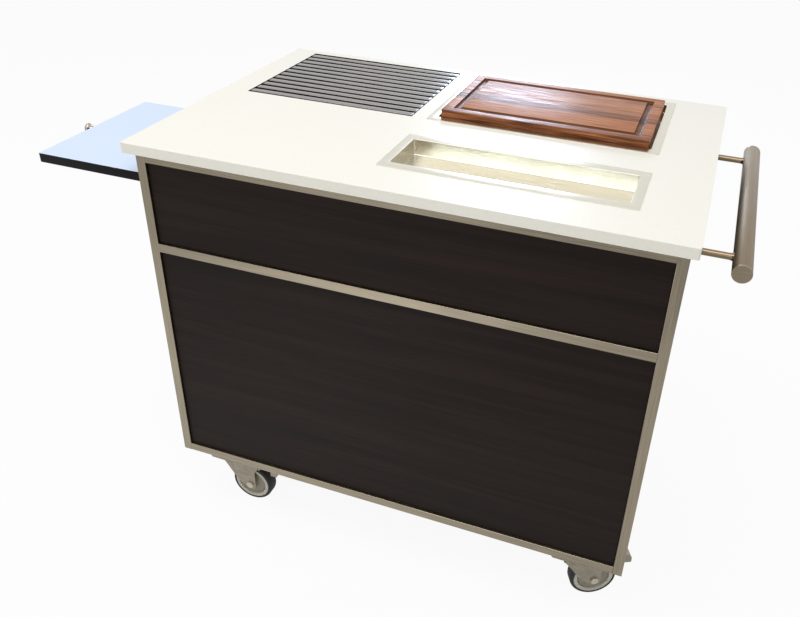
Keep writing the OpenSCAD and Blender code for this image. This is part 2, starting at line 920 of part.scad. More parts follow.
module caster_plates() color(ZINC) place() {
    for (i = [0:3]) {
        translate([caster_xs[i], caster_ys[i], 0]) {
            difference() {
                translate([-plate_size[0] / 2, -plate_size[1] / 2, plate_z]) {
                    round_plate([plate_size[0], plate_size[1], plate_t], plate_corner);
                }
                translate([0, 0, plate_z]) bolt_holes();
            }
            translate([0, 0, race_z]) cylinder(r = race_r, h = race_h);
            translate([0, 0, crown_z - pedal_gap - kingpin_head_h]) {
                cylinder(r = kingpin_head_r, h = kingpin_head_h);
                cylinder(r = kingpin_r, h = plate_z - crown_z + kingpin_head_h);
            }
        }
    }
}

module caster_bolts() color(ZINC) place() {
    for (i = [0:3], x = [-bolt_span[0], bolt_span[0]] / 2, y = [-bolt_span[1], bolt_span[1]] / 2) {
        translate([caster_xs[i] + x, caster_ys[i] + y, plate_z - bolt_head_h]) {
            cylinder(r = bolt_head_r, h = bolt_head_h, $fn = 6);
            cylinder(r = bolt_r, h = bolt_head_h + plate_t + bolster_t + bolt_head_h);
            translate([0, 0, bolt_head_h + plate_t + bolster_t]) {
                cylinder(r = bolt_head_r, h = bolt_head_h, $fn = 6);
            }
        }
    }
}

// One leg's outline, x back from the swivel axis and y up from the floor
module leg_outline() {
    polygon([
        [-crown_r + 1, crown_z + crown_t], [ear_end, crown_z + crown_t], [ear_end, ear_low],
        [trail + boss_r, ear_low - ear_slope], [trail + boss_r, wheel_r],
        [trail + boss_r * cos(boss_turn), wheel_r + boss_r * sin(boss_turn)],
        leg_knees[2], leg_knees[1], leg_knees[0]
    ]);
    translate([trail, wheel_r]) circle(boss_r);
}

module caster_fork(i) color(ZINC) at_caster(i) difference() {
    union() {
        for (y = [-leg_in, leg_out]) {
            translate([0, y, 0]) rotate([90, 0, 0]) linear_extrude(leg_t) leg_outline();
        }
        translate([-crown_r + 1, -leg_out, crown_z]) cube([2 * crown_r - 2, 2 * leg_out, crown_t]);
        translate([0, 0, crown_z]) cylinder(r = crown_r, h = crown_t);
        translate([0, 0, crown_z]) cylinder(r = race_r, h = race_z - race_gap - crown_z);
    }
    translate([0, 0, crown_z - past]) cylinder(r = kingpin_r + run, h = race_z - crown_z + past);
    translate([trail, -leg_out - past, wheel_r]) rod_y(axle_r + run, 2 * (leg_out + past));
    translate([ear_x, -leg_out - past, ear_z]) rod_y(stub_r + run, 2 * (leg_out + past));
}

module caster_axle(i) color(ZINC) at_caster(i) translate([trail, 0, wheel_r]) {
    reach = leg_out + axle_head_h;
    translate([0, -reach, 0]) rod_y(axle_r, 2 * reach);
    for (y = [-reach, leg_out]) {
        translate([0, y, 0]) rotate([-90, 0, 0]) cylinder(r = axle_head_r, h = axle_head_h, $fn = 6);
    }
}

module caster_core(i) color(GREY) at_caster(i) translate([trail, 0, wheel_r]) rotate([90, 0, 0]) {
    rotate_extrude() {
        translate([axle_r + run, -hub_half]) square([hub_r - axle_r - run, 2 * hub_half]);
        translate([hub_r - past, -web_half]) square([rim_in - hub_r + 2 * past, 2 * web_half]);
        translate([rim_in, -rim_half]) square([rim_r - rim_in, 2 * rim_half]);
    }
}

module caster_tyre(i) color(BLACK) at_caster(i) translate([trail, 0, wheel_r]) rotate([90, 0, 0]) {
    half = wheel_w / 2;
    shoulder = half - tread_half;
    inner = rim_r + run;
    rotate_extrude() intersection() {
        union() {
            translate([inner, -half]) square([wheel_r - shoulder - inner, 2 * half]);
            translate([inner, -tread_half]) square([wheel_r - inner, 2 * tread_half]);
            for (y = [-tread_half, tread_half]) {
                translate([wheel_r - shoulder, y]) circle(shoulder);
            }
        }
        translate([inner, -half]) square([wheel_r, 2 * half]);
    }
}

// The pedal's outline: a flat lever that bends down at its tip
module pedal_outline() {
    translate([ear_x, pedal_top - pedal_t]) square([pedal_x - ear_x, pedal_t]);
    difference() {
        pedal_cheek();
        translate([pedal_x, pedal_top - pedal_r]) circle(pedal_r - pedal_t);
        translate([pedal_x - past, pedal_top - pedal_drop - past]) {
            square([pedal_r - pedal_t + past, pedal_drop - pedal_r + past]);
        }
    }
}

// The tip's side, a quarter of a disc over a square
module pedal_cheek() {
    translate([pedal_x, pedal_top - pedal_r]) intersection() {
        circle(pedal_r);
        square(pedal_r + past);
    }
    translate([pedal_x, pedal_top - pedal_drop]) square([pedal_r, pedal_drop - pedal_r + past]);
}

module pedal_neck() {
    polygon([
        [ear_x - barrel_r, ear_z],
        [ear_x + neck_foot[0], ear_z - neck_drop], [ear_x + neck_foot[1], ear_z - neck_drop],
        [ear_x + neck_len, pedal_top - pedal_t], [ear_x + neck_len, pedal_top], [ear_x, pedal_top]
    ]);
}

module across(width) {
    translate([0, width / 2, 0]) rotate([90, 0, 0]) linear_extrude(width) children();
}

module caster_pedal(i) color(ZINC) at_caster(i) {
    neck_w = 2 * (leg_in - pedal_gap);
    across(pedal_w) pedal_outline();
    for (y = [-1, 1] * (pedal_w - cheek_t) / 2) {
        translate([0, y, 0]) across(cheek_t) pedal_cheek();
    }
    across(neck_w) pedal_neck();
    translate([ear_x, -neck_w / 2, ear_z]) rod_y(barrel_r, neck_w);
    translate([ear_x, -leg_out, ear_z]) rod_y(stub_r, 2 * leg_out);
}

corner_posts();
long_rails();
end_rails();
bolsters();
front_upper_panel();
front_lower_panel();
end_panels();
bottom_deck();
middle_deck();
bay_partition();
worktop();
board_pan();
burner_well();
burner_head();
gas_valve();
handle_tube();
handle_caps();
handle_standoffs();
shelf_channels();
drawer_rails();
hinge_leaves();
caster_plates();
caster_bolts();
pullout_shelf();
shelf_knob();
drawer_box();
drawer_front();
drawer_pull();
drawer_runners();
left_door();
left_door_hinges();
left_door_pull();
right_door();
right_door_hinges();
right_door_pull();
grate();
cutting_board();
front_tray();
burner_knob();
gas_cartridge();
caster_fork(0);  // caster_fl_fork
caster_axle(0);  // caster_fl_axle
caster_core(0);  // caster_fl_core
caster_tyre(0);  // caster_fl_tyre
caster_pedal(0);  // caster_fl_pedal
caster_fork(1);  // caster_fr_fork
caster_axle(1);  // caster_fr_axle
caster_core(1);  // caster_fr_core
caster_tyre(1);  // caster_fr_tyre
caster_pedal(1);  // caster_fr_pedal
caster_fork(2);  // caster_rl_fork
caster_axle(2);  // caster_rl_axle
caster_core(2);  // caster_rl_core
caster_tyre(2);  // caster_rl_tyre
caster_pedal(2);  // caster_rl_pedal
caster_fork(3);  // caster_rr_fork
caster_axle(3);  // caster_rr_axle
caster_core(3);  // caster_rr_core
caster_tyre(3);  // caster_rr_tyre
caster_pedal(3);  // caster_rr_pedal
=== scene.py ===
"""The looks of a flambe cart, built round its packed construction.

Everything is in metres in the cart's own frame: x to the right end with the push
handle, y to the operator's side, z up from the floor.
"""
import json
import math

import bmesh
import bpy
import numpy as np
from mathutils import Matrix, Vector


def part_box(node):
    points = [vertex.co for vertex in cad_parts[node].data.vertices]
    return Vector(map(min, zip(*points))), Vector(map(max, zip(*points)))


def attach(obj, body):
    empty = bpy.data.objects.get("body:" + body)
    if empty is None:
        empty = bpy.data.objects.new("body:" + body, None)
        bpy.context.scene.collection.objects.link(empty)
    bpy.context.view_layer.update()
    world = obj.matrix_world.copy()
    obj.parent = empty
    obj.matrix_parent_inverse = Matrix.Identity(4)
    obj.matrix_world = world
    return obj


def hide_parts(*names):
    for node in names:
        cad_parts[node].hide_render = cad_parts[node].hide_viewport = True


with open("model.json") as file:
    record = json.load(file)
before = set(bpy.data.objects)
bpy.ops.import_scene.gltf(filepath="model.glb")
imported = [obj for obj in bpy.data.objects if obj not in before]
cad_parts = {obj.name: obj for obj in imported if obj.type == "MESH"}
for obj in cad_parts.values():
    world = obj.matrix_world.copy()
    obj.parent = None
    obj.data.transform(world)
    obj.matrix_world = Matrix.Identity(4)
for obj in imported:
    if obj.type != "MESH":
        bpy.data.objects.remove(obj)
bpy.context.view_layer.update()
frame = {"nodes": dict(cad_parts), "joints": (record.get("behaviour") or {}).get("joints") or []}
joints = {joint["name"]: joint for joint in frame["joints"]}

MM = 0.001

# The photograph's viewpoint, turn in degrees, lens in millimetres and shift
VIEW_PLACE = (0.5876, -1.5058, 1.4935)
VIEW_TURN = (58.726, -1.824, 19.684)
VIEW_LENS = 37.04
VIEW_SHIFT = (-0.0489, -0.0301)

# The studio: what lights matt surfaces all round, how white the floor shows, and its side
AMBIENT = 0.45
FLOOR_WHITE = 0.93
FLOOR_SIDE = 24.0
# What metal shows of the floor: a plain level, and zones with a gain, a radius and a middle. It is
# brighter where the lamps meet, and darker where the camera stands
GLOW_LEVEL = 0.73
GLOW_ZONES = ((1.1, 1.4, (-0.3, -1.2)), (-0.55, 1.2, (0.2, -1.9)))

# Lamps: place, the point that each looks at, width, height, power in watts and colour
LAMPS = {
    "overhead_softbox": ((-0.2, -1.1, 3.6), (0.0, 0.0, 0.7), 3.4, 1.7, 56.0, "#FFFFFF"),
    "window_behind": ((-0.59, 3.3, 1.86), (0.1, 0.1, 0.93), 0.62, 0.6, 25.0, "#CFE3FF"),
    "front_fill": ((-0.5, -3.3, 2.28), (0.1, -0.2, 0.9), 2.2, 0.7, 9.5, "#FFFFFF"),
}

# Edges that a hand feels, eased by the maker
SHEET_EDGE = 0.3 * MM
TUBE_EDGE = 0.9 * MM
BOARD_EDGE = 0.8 * MM
SLAB_EDGE = 1.5 * MM
# Faces that meet at more than SHARP have a sharp edge, and at less than FLAT they are joined
SHARP = math.radians(28)
FLAT = math.radians(0.3)
# Points closer than this are merged
DOUBLE = 0.002 * MM
# Keeps a division by a length of nothing from failing
TINY = 1e-9


# Nodes and colours

def srgb(code):
    """A hex colour as linear red, green, blue and alpha."""
    parts = np.array([int(code[i:i + 2], 16) for i in (1, 3, 5)]) / 255
    linear = np.where(parts <= 0.04045, parts / 12.92, ((parts + 0.055) / 1.055) ** 2.4)
    return (*linear.tolist(), 1.0)


def add(tree, kind, inputs=(), stops=(), **settings):
    """Adds a node. Inputs are values or sockets to link, stops a ramp's places and colours."""
    made = tree.nodes.new("ShaderNode" + kind)
    for key, value in settings.items():
        setattr(made, key, value)
    for place, value in dict(inputs).items():
        if isinstance(value, bpy.types.NodeSocket):
            tree.links.new(value, made.inputs[place])
        else:
            made.inputs[place].default_value = value
    for index, (place, code) in enumerate(stops):
        elements = made.color_ramp.elements
        stop = elements[index] if index < 2 else elements.new(place)
        stop.position = place
        stop.color = srgb(code)
    return made


def finish(name, code, **sockets):
    """A material with the principled shader's own sockets set, its node tree and that shader."""
    made = bpy.data.materials.new(name)
    made.use_nodes = True
    shader = made.node_tree.nodes["Principled BSDF"]
    shader.inputs["Base Color"].default_value = srgb(code)
    for key, value in sockets.items():
        shader.inputs[key.replace("_", " ")].default_value = value
    return made, made.node_tree, shader


def measured(tree, size, offset=(0, 0, 0)):
    """Object coordinates counted in steps of a real size along x, y and z."""
    place = add(tree, "TexCoord").outputs["Object"]
    scale = [1 / step for step in size]
    return add(tree, "Mapping", {"Vector": place, "Scale": scale, "Location": offset}).outputs[0]


def wire(tree, shader, **sources):
    """Links sources to the shader's sockets of those names."""
    for key, source in sources.items():
        tree.links.new(source, shader.inputs[key.replace("_", " ")])


def plainly_seen(tree):
    """The light path's outputs, and a socket that is 1 where a thing is seen or mirrored."""
    path = add(tree, "LightPath").outputs
    seen = add(
        tree, "Math", {0: path["Is Camera Ray"], 1: path["Is Glossy Ray"]}, operation="MAXIMUM")
    seen = add(
        tree, "Math", {0: seen.outputs[0], 1: path["Is Transmission Ray"]}, operation="MAXIMUM")
    return path, seen.outputs[0]


# Materials

# Length of a belt's scratch against its spacing, and the size of the clouds that cloths leave
SCRATCH_RUN = 80
CLOUD = 90 * MM
# Laminate: the run of a pore, and the run and width of the bands between light and dark wood
PORE_RUN = 260 * MM
BAND_RUN = 500 * MM
BAND_WIDTH = 22 * MM
# Walnut: width of a glued strip, where the first one starts in strips, how far apart their
# grains are taken, and the length and width of grain and pores
WALNUT_STRIP = 32 * MM
WALNUT_START = 0.35
WALNUT_APART = 9.0
WALNUT_GRAIN = (140 * MM, 7 * MM, 7 * MM)
WALNUT_PORE = (70 * MM, 2.4 * MM, 2.4 * MM)
# Textured film and oiled wood mirror far less than a smooth face
SOFT_MIRROR = 0.12


def ground_steel(name, tones, along, roughness, scratch=1.0 * MM, spread=0.0):
    """Stainless steel ground with a belt along one axis: a warm grey metal with long, fine streaks.

    Real scratches are under 0.1 mm apart. They are drawn as coarse as they need to show. On a round
    tube they spread light round it: spread says how much.
    """
    made, tree, shader = finish(name, tones[0], Metallic=1.0)
    size = [scratch] * 3
    size[along] = SCRATCH_RUN * scratch
    streaks = add(tree, "TexNoise", {"Vector": measured(tree, size), "Scale": 1.0, "Detail": 3.0})
    clouds = add(tree, "TexNoise", {
        "Vector": measured(tree, [CLOUD] * 3), "Scale": 1.0, "Detail": 2.0})
    both = add(tree, "Math", {0: streaks.outputs[0], 1: clouds.outputs[0]}, operation="ADD")
    tone = add(tree, "ValToRGB", {0: streaks.outputs[0]}, stops=((0.3, tones[0]), (0.7, tones[1])))
    rough = add(tree, "MapRange", {
        "Value": both.outputs[0], "From Min": 0.7, "From Max": 1.3,
        "To Min": roughness - 0.06, "To Max": roughness + 0.08})
    relief = add(tree, "Bump", {
        "Strength": 0.12, "Distance": 0.1 * MM, "Height": streaks.outputs[0]})
    wire(tree, shader,
         Base_Color=tone.outputs[0], Roughness=rough.outputs[0], Normal=relief.outputs[0])
    if spread:
        shader.inputs["Anisotropic"].default_value = spread
        around = add(tree, "Tangent", direction_type="RADIAL", axis="XYZ"[along])
        wire(tree, shader, Tangent=around.outputs[0])
    return made


def mottled(name, tones, grain, relief, **sockets):
    """A surface whose tone and height vary in soft grains of a real size, as on a casting."""
    made, tree, shader = finish(name, tones[0], **sockets)
    grains = add(tree, "TexNoise", {
        "Vector": measured(tree, [grain] * 3), "Scale": 1.0, "Detail": 4.0})
    tone = add(tree, "ValToRGB", {0: grains.outputs[0]}, stops=((0.35, tones[0]), (0.65, tones[1])))
    height = add(tree, "Bump", {"Strength": 0.3, "Distance": relief, "Height": grains.outputs[0]})
    wire(tree, shader, Base_Color=tone.outputs[0], Normal=height.outputs[0])
    return made


def wood_film(name, tones, pore, roughness):
    """Textured laminate, matt, with a straight open grain that runs level round the cart."""
    made, tree, shader = finish(name, tones[0], Specular_IOR_Level=SOFT_MIRROR)
    size = (PORE_RUN, PORE_RUN, pore)
    pores = add(tree, "TexNoise", {
        "Vector": measured(tree, size), "Scale": 1.0, "Detail": 4.0, "Roughness": 0.65})
    size = (BAND_RUN, BAND_RUN, BAND_WIDTH)
    bands = add(tree, "TexNoise", {"Vector": measured(tree, size), "Scale": 1.0, "Detail": 2.0})
    both = add(tree, "Math", {0: pores.outputs[0], 1: bands.outputs[0]}, operation="ADD")
    level = add(tree, "Math", {0: both.outputs[0], 1: 0.5}, operation="MULTIPLY")
    tone = add(tree, "ValToRGB", {0: level.outputs[0]}, stops=((0.38, tones[0]), (0.62, tones[1])))
    rough = add(tree, "MapRange", {
        "Value": pores.outputs[0], "From Min": 0.3, "From Max": 0.7,
        "To Min": roughness + 0.1, "To Max": roughness - 0.05})
    relief = add(tree, "Bump", {
        "Strength": 0.25, "Distance": 0.15 * MM, "Height": pores.outputs[0]})
    wire(tree, shader,
         Base_Color=tone.outputs[0], Roughness=rough.outputs[0], Normal=relief.outputs[0])
    return made


def oiled_walnut(name, tones):
    """Walnut strips glued side by side along x, cut and oiled: each has its own tone and grain."""
    made, tree, shader = finish(name, tones[1], IOR=1.48, Specular_IOR_Level=SOFT_MIRROR)
    place = measured(tree, (1.0, WALNUT_STRIP, 1.0), (0.0, WALNUT_START, 0.0))
    across = add(tree, "SeparateXYZ", {0: place}).outputs["Y"]
    strip = add(tree, "Math", {0: across}, operation="FLOOR").outputs[0]
    chance = add(tree, "TexWhiteNoise", {"W": strip}, noise_dimensions="1D").outputs["Value"]
    along = add(tree, "Math", {0: chance, 1: WALNUT_APART}, operation="MULTIPLY").outputs[0]
    shift = add(tree, "CombineXYZ", {"X": along}).outputs[0]
    grain_at = add(tree, "VectorMath", {0: measured(tree, WALNUT_GRAIN), 1: shift}).outputs[0]
    grain = add(tree, "TexNoise", {
        "Vector": grain_at, "Scale": 1.0, "Detail": 5.0, "Distortion": 0.6}).outputs[0]
    # Real pores are 0.2 mm wide. They are drawn as coarse as they need to show
    pore_at = add(tree, "VectorMath", {0: measured(tree, WALNUT_PORE), 1: shift}).outputs[0]
    pores = add(tree, "TexNoise", {"Vector": pore_at, "Scale": 1.0, "Detail": 3.0}).outputs[0]
    mixed = add(tree, "Math", {0: chance, 1: 0.24}, operation="MULTIPLY").outputs[0]
    mixed = add(tree, "Math", {0: grain, 1: 0.55, 2: mixed}, operation="MULTIPLY_ADD").outputs[0]
    mixed = add(tree, "Math", {0: pores, 1: 0.7, 2: mixed}, operation="MULTIPLY_ADD").outputs[0]
    tone = add(tree, "ValToRGB", {0: mixed}, stops=tuple(zip((0.5, 0.66, 0.8, 1.0), tones)))
    rough = add(tree, "MapRange", {
        "Value": pores, "From Min": 0.35, "From Max": 0.65, "To Min": 0.5, "To Max": 0.24})
    relief = add(tree, "Bump", {"Strength": 0.2, "Distance": 0.15 * MM, "Height": pores})
    wire(tree, shader,
         Base_Color=tone.outputs[0], Roughness=rough.outputs[0], Normal=relief.outputs[0])
    return made


# Square tube and rails, ground along their length. One steel for each way that a piece runs
FRAME_TONES = ("#8F8574", "#A89D8A")
frame_along = [
    ground_steel(f"ground stainless tube, along {axis}", FRAME_TONES, i, 0.24)
    for i, axis in enumerate("xyz")
]
# Worktop slab: polished quartz stone, almost white, with sand-sized grains
quartz = mottled("polished white quartz", ("#F4F1E5", "#F8F5EA"), 2.5 * MM, 0.01 * MM,
                 Roughness=0.3, IOR=1.54)
# Front, end, door and drawer faces: very dark laminate with an open grain
panel_film = wood_film("dark open-grained laminate", ("#1B1411", "#281D19"), 1.6 * MM, 0.45)
# Decks, partition and drawer box: plain dark melamine board
carcass_film = wood_film("dark melamine board", ("#3A332F", "#4A423D"), 2.4 * MM, 0.55)
# Pressed pans: brushed inside along x, bright and warm
pan_steel = ground_steel("brushed pan stainless", ("#D3CFC0", "#DFDACD"), 0, 0.2)
# Grate slats: brushed along x. Their sides are painted shade: a darker copy of the same steel
slat_steel = ground_steel("brushed slat stainless", ("#858280", "#A09D9A"), 0, 0.22)
slat_side_shade_steel = ground_steel("slat stainless, painted side shade", ("#3E3A36", "#55504B"), 0, 0.34)
# Shelf channels: plain satin sheet
sheet_steel = ground_steel("satin sheet stainless", ("#8E897F", "#A5A095"), 1, 0.34)
# Well under the grate: the same sheet, browned by heat and soot
well_steel = mottled("heat-browned sheet stainless", ("#38332E", "#57504A"), 30 * MM, 0.05 * MM,
                     Metallic=1.0, Roughness=0.4)
# Push handle and its posts: brushed round tube. Its end discs, faced on a lathe, are brighter
HANDLE_TONES = ("#7D6D59", "#8D7C65")
handle_steel = ground_steel("brushed handle stainless", HANDLE_TONES, 1, 0.38, 0.5 * MM, 0.85)
post_steel = ground_steel("brushed post stainless", HANDLE_TONES, 0, 0.24, 0.5 * MM)
faced_steel = ground_steel("faced disc stainless", ("#908472", "#A0937F"), 0, 0.28, 0.5 * MM)
# Bar pulls and knob: small parts polished on a wheel
knob_steel = ground_steel("polished knob stainless", ("#A69C90", "#BDB4A8"), 1, 0.2, 0.5 * MM)
# Shelf face: pale blue high-pressure laminate with a silky face
shelf_face = mottled("pale blue laminate", ("#D6E5FC", "#DAE9FE"), 2 * MM, 0.02 * MM,
                     Roughness=0.35, IOR=1.5)
# Shelf edges: dark edging strip, glued on
shelf_edging = wood_film("dark edging strip", ("#151515", "#1D1C1C"), 1.2 * MM, 0.4)
# Burner: grey cast iron with a sandy skin
cast_iron = mottled("sand-cast iron", ("#2B2B2D", "#3D3C3C"), 1.4 * MM, 0.3 * MM,
                    Metallic=0.6, Roughness=0.62)
# Valve and pipes: turned and tarnished brass
brass = mottled("turned brass", ("#A88748", "#C2A15E"), 9 * MM, 0.05 * MM,
                Metallic=1.0, Roughness=0.32)
# Casters' pressed steel, zinc plated: warm grey with a soft mottle
zinc = mottled("zinc-plated pressed steel", ("#938B7B", "#A0988A"), 12 * MM, 0.03 * MM,
               Metallic=1.0, Roughness=0.34)
# Axle bolts: bright zinc on turned steel
bright_zinc = mottled("bright zinc on turned steel", ("#B9B4A6", "#C9C4B6"), 5 * MM, 0.02 * MM,
                      Metallic=1.0, Roughness=0.2)
# Wheel centres: a rim of moulded grey polypropylene round a darker disc
rim_plastic = mottled("moulded grey polypropylene", ("#C3BEAF", "#CFCABC"), 3 * MM, 0.06 * MM,
                      Roughness=0.45)
disc_plastic = mottled("moulded taupe polypropylene", ("#8F8775", "#9B9381"), 3 * MM, 0.06 * MM,
                       Roughness=0.5)
# Tyres: moulded black rubber, dusty from the floor
tyre_rubber = mottled("moulded black rubber", ("#171918", "#242625"), 1.8 * MM, 0.15 * MM,
                      Roughness=0.66)
# Control knob: moulded black phenolic, a little shiny
knob_plastic = mottled("moulded black phenolic", ("#121212", "#1B1A1A"), 2 * MM, 0.05 * MM,
                       Roughness=0.34)
# Gas cartridge: white stove enamel on drawn steel
cartridge_paint = mottled("stove-enamelled steel", ("#C9CDD0", "#D6D9DB"), 12 * MM, 0.02 * MM,
                          Roughness=0.25)
# Cutting board: the groove is a darker copy of the walnut, painted shade in the recess
walnut = oiled_walnut("oiled walnut, glued strips", ("#4E2E1C", "#8A5534", "#AE704A", "#C98D5E"))
groove_shade_walnut = oiled_walnut(
    "oiled walnut, painted groove shade", ("#2E1A10", "#55311D", "#70442B", "#855637"))


# Shapes: each is an array of points, (rows, columns, 3), whose last column joins its first

def eased(corners, eases, steps=5):
    """A line through corners, each turned by a parabola that starts and ends an ease from it."""
    points = np.asarray(corners, float)
    ease = np.broadcast_to(np.asarray(eases, float), len(points))[:, None, None]
    ways = [np.roll(points, shift, 0) - points for shift in (1, -1)]
    back, ahead = (
        way / np.maximum(np.linalg.norm(way, axis=1, keepdims=True), TINY) for way in ways)
    s = np.linspace(0, 1, steps)[None, :, None]
    bend = (1 - s) ** 2 * back[:, None] + s ** 2 * ahead[:, None]
    return (points[:, None] + ease * bend).reshape(-1, points.shape[1])


def lathe(profile, count=48):
    """Rows of (radius, height) turned about the z axis: (r cos a, r sin a, h)."""
    angle = np.arange(count) * (2 * np.pi / count)
    radius, height = np.asarray(profile, float).T[:, :, None]
    return np.stack(np.broadcast_arrays(radius * np.cos(angle), radius * np.sin(angle), height), -1)


def stacked(profile, centre=(0, 0), steps=7):
    """Rounded rectangles in a pile. A row is half width, half depth, corner radius and height."""
    quarter = np.linspace(0, np.pi / 2, steps)
    angle = (np.arange(4)[:, None] * np.pi / 2 + quarter).ravel()
    side = np.repeat(np.array([[1, -1, -1, 1], [1, 1, -1, -1]]), steps, axis=1)
    half_x, half_y, radius, z = np.asarray(profile, float).T[:, :, None]
    x = centre[0] + side[0] * (half_x - radius) + radius * np.cos(angle)
    y = centre[1] + side[1] * (half_y - radius) + radius * np.sin(angle)
    return np.stack(np.broadcast_arrays(x, y, z), -1)


def drawn_in(row, inset, z=None):
    """A stacked() row made smaller all round, at the same height or another."""
    half_x, half_y, radius, height = row
    return (half_x - inset, half_y - inset, max(radius - inset, 0), height if z is None else z)


def bar(low, high, ease, corner, dip=0.0):
    """A straight bar between two corners, with eased edges. Its top dips towards them."""
    low, high = np.array(low, float), np.array(high, float)
    half, centre = (high - low) / 2, (high + low) / 2
    foot, top = ((half[0], half[1], corner, z) for z in (low[2], high[2] - dip))
    rows = [(0, 0, 0, low[2]), drawn_in(foot, 2 * ease), foot,
            top, drawn_in(top, 3 * ease, high[2]), (0, 0, 0, high[2])]
    return stacked(eased(rows, (0, 0, ease, ease, ease if dip else 0, 0)), centre, 4)


def placed(shape, origin, axes):
    """A shape moved from its own axes, given as rows, to the cart's."""
    return np.asarray(origin, float) + shape @ np.asarray(axes, float)


ALONG_X = ((0, 1, 0), (0, 0, 1), (1, 0, 0))
ALONG_Y = ((0, 0, 1), (1, 0, 0), (0, 1, 0))
ALONG_Z = ((1, 0, 0), (0, 1, 0), (0, 0, 1))


def mesh_of(name, shapes):
    """One mesh of all the shapes, with quads between neighbours."""
    points, quads, start = [], [], 0
    for shape in shapes:
        rows, columns = shape.shape[:2]
        row, column = np.meshgrid(np.arange(rows - 1), np.arange(columns), indexing="ij")
        beside = (column + 1) % columns
        corners = (row * columns + column, row * columns + beside,
                   (row + 1) * columns + beside, (row + 1) * columns + column)
        points.append(shape.reshape(-1, 3))
        quads.append(np.stack(corners, -1).reshape(-1, 4) + start)
        start += rows * columns
    mesh = bpy.data.meshes.new(name)
    mesh.from_pydata(np.concatenate(points).tolist(), [], np.concatenate(quads).tolist())
    return mesh


def tidied(mesh, join_flat=False):
    """The mesh with doubles merged and faces turned outwards, smooth but for sharp edges."""
    work = bmesh.new()
    work.from_mesh(mesh)
    bmesh.ops.remove_doubles(work, verts=work.verts, dist=DOUBLE)
    if join_flat:
        bmesh.ops.dissolve_limit(work, angle_limit=FLAT, verts=work.verts, edges=work.edges)
    else:
        bmesh.ops.recalc_face_normals(work, faces=work.faces)
    work.to_mesh(mesh)
    work.free()
    mesh.polygons.foreach_set("use_smooth", np.ones(len(mesh.polygons), bool))
    mesh.set_sharp_from_angle(angle=SHARP)
    return mesh


def shown(mesh, material, body, nodes):
    """Puts a mesh in the scene as a piece that stands for its nodes and moves with its body."""
    made = bpy.data.objects.new(mesh.name, mesh)
    bpy.context.scene.collection.objects.link(made)
    mesh.materials.clear()
    for one in material if isinstance(material, tuple) else (material,):
        mesh.materials.append(one)
    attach(made, body)
    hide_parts(*nodes)
    return made


def piece(name, shapes, material, slot, body, *nodes):
    """A new piece made of shapes."""
    return shown(tidied(mesh_of(name, shapes)), material, body, nodes)


def second_finish(made, chosen):
    """Gives a piece's second material to the faces that a test of middles and normals picks."""
    faces = made.data.polygons
    middles, normals = np.zeros((2, 3 * len(faces)))
    faces.foreach_get("center", middles)
    faces.foreach_get("normal", normals)
    picked = chosen(middles.reshape(-1, 3), normals.reshape(-1, 3))
    faces.foreach_set("material_index", picked.astype(np.int32))


def dressed(node, material, edge, body="cart_frame"):
    """The construction's own piece, with its flat faces joined and its edges rounded a little."""
    mesh = frame["nodes"][node].data.copy()
    mesh.name = node + "_dressed"
    made = shown(tidied(mesh, join_flat=True), material, body, [node])
    rounding = made.modifiers.new("eased edges", "BEVEL")
    rounding.width = edge
    rounding.segments = 2
    rounding.limit_method = "ANGLE"
    rounding.angle_limit = SHARP
    rounding.harden_normals = True
    return made


# An edge runs along an axis if this share of it does
MOSTLY = 0.99


def dressed_tubes(node, way):
    """Square tubes along axis way, with their long edges rounded and their ends flush to weld."""
    made = dressed(node, frame_along[way], TUBE_EDGE)
    mesh = made.data
    points = np.zeros(3 * len(mesh.vertices))
    ends = np.zeros(2 * len(mesh.edges), np.int32)
    mesh.vertices.foreach_get("co", points)
    mesh.edges.foreach_get("vertices", ends)
    start, stop = points.reshape(-1, 3)[ends.reshape(-1, 2).T]
    run = np.abs(stop - start)
    weights = mesh.attributes.new("bevel_weight_edge", "FLOAT", "EDGE")
    weights.data.foreach_set("value", (run[:, way] > MOSTLY * run.sum(1)).astype(np.float32))
    made.modifiers[0].limit_method = "WEIGHT"


def middle(node):
    """The middle of a node's box."""
    low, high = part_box(node)
    return (low + high) / 2


# The frame, its panels and the cupboard

def make_frame():
    """Tubes, panels and boards, which keep the construction's own shapes."""
    dressed_tubes("corner_posts", 2)
    dressed_tubes("long_rails", 0)
    dressed_tubes("end_rails", 1)
    dressed("bolsters", frame_along[1], SHEET_EDGE)
    for node in ("front_upper_panel", "front_lower_panel", "end_panels"):
        dressed(node, panel_film, BOARD_EDGE)
    for node in ("bottom_deck", "middle_deck", "bay_partition"):
        dressed(node, carcass_film, BOARD_EDGE)
    dressed("worktop", quartz, SLAB_EDGE)
    dressed("burner_well", well_steel, SHEET_EDGE)
    dressed("shelf_channels", sheet_steel, SHEET_EDGE)
    dressed("gas_valve", brass, BOARD_EDGE)
    dressed("drawer_rails", zinc, SHEET_EDGE)
    dressed("hinge_leaves", zinc, SHEET_EDGE)
    dressed("caster_plates", zinc, SHEET_EDGE)


def make_cupboard():
    """Drawer, doors and what is screwed to them."""
    dressed("drawer_box", carcass_film, BOARD_EDGE, "drawer")
    dressed("drawer_front", panel_film, BOARD_EDGE, "drawer")
    dressed("drawer_runners", zinc, SHEET_EDGE, "drawer")
    bar_pull("drawer_pull", "drawer")
    for side in ("left", "right"):
        body = side + "_cupboard_door"
        dressed(side + "_door", panel_film, BOARD_EDGE, body)
        dressed(side + "_door_hinges", zinc, SHEET_EDGE, body)
        bar_pull(side + "_door_pull", body)


def rod(radius, length, ease):
    """A round bar up the z axis from the origin, with eased ends."""
    profile = [(0, 0), (radius, 0), (radius, length), (0, length)]
    return lathe(eased(profile, (0, ease, ease, 0)), 32)


PULL_POST_INSET = 16 * MM
